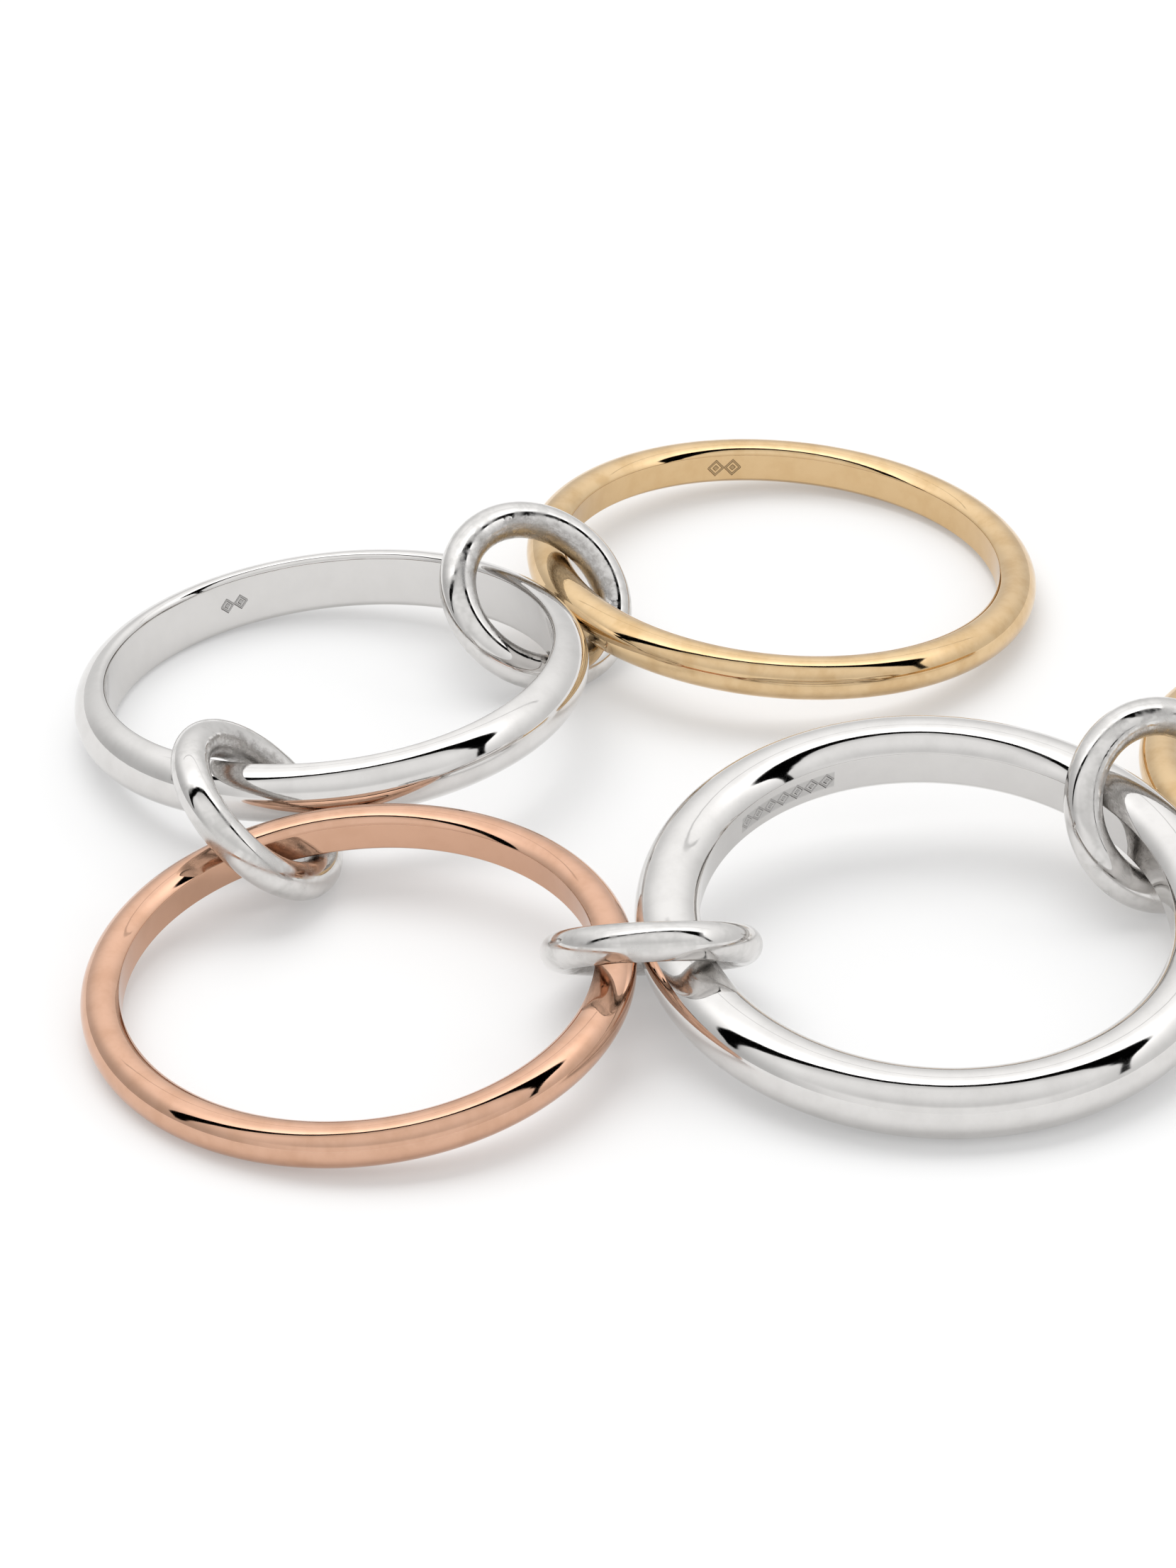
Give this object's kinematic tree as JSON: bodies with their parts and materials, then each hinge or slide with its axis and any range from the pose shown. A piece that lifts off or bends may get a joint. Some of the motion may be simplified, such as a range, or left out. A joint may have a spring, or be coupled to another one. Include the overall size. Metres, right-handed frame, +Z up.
{
  "type": "linked finger rings",
  "caption": "Round finger rings of plain and domed section, hooked in a row by small round connector links, lying open on a flat surface.",
  "frame": {"origin": "under the middle of the whole set, on the surface the rings lie on", "axes": "+Z up from that surface, +X along the row from the silver band to the end gold ring"},
  "size_m": [0.0622, 0.0512, 0.0073],
  "materials": {
    "yellow_gold": "polished 14 carat yellow gold",
    "rose_gold": "polished 14 carat rose gold",
    "silver": "polished sterling silver"
  },
  "bodies": {
    "gold_ring": {"gold_ring": "yellow_gold"},
    "silver_band": {"silver_band": "silver"},
    "rose_gold_ring": {"rose_gold_ring": "rose_gold"},
    "heavy_silver_ring": {"heavy_silver_ring": "silver"},
    "end_gold_ring": {"end_gold_ring": "yellow_gold"},
    "link_gold_to_band": {"link_gold_to_band": "silver"},
    "link_band_to_rose": {"link_band_to_rose": "silver"},
    "link_rose_to_heavy": {"link_rose_to_heavy": "silver"},
    "link_heavy_to_end": {"link_heavy_to_end": "silver"}
  },
  "joints": [
    {"name": "band_link_swing", "type": "hinge", "parent": "rose_gold_ring", "child": "link_band_to_rose", "pos_m": [-0.0227, -0.00636, 0.00223], "axis": [0.9371, 0.2714, 0.2193], "range_deg": [0, 75]},
    {"name": "silver_band_fold", "type": "hinge", "parent": "link_band_to_rose", "child": "silver_band", "pos_m": [-0.02319, -0.00413, 0.00284], "axis": [0.9381, -0.2924, 0.1859], "range_deg": [0, 75]},
    {"name": "gold_link_swing", "type": "hinge", "parent": "silver_band", "child": "link_gold_to_band", "pos_m": [-0.01324, 0.01046, 0.00282], "axis": [-0.4674, 0.8632, -0.1907], "range_deg": [-75, 0]},
    {"name": "gold_ring_fold", "type": "hinge", "parent": "link_gold_to_band", "child": "gold_ring", "pos_m": [-0.01155, 0.01145, 0.00254], "axis": [-0.3359, 0.9418, -0.0124], "range_deg": [-75, 0]},
    {"name": "heavy_link_swing", "type": "hinge", "parent": "rose_gold_ring", "child": "link_rose_to_heavy", "pos_m": [-0.00994, -0.0145, 0.00274], "axis": [-0.1054, 0.9918, 0.0725], "range_deg": [-90, 0]},
    {"name": "heavy_ring_fold", "type": "hinge", "parent": "link_rose_to_heavy", "child": "heavy_silver_ring", "pos_m": [-0.00766, -0.01431, 0.0027], "axis": [-0.1741, 0.9727, 0.1534], "range_deg": [-75, 0]},
    {"name": "end_link_swing", "type": "hinge", "parent": "heavy_silver_ring", "child": "link_heavy_to_end", "pos_m": [0.01007, -0.00664, 0.00336], "axis": [0.5455, -0.83, -0.116], "range_deg": [0, 90]},
    {"name": "end_ring_fold", "type": "hinge", "parent": "link_heavy_to_end", "child": "end_gold_ring", "pos_m": [0.01224, -0.00572, 0.00283], "axis": [0.4717, -0.8793, 0.0663], "range_deg": [0, 90]}
  ]
}
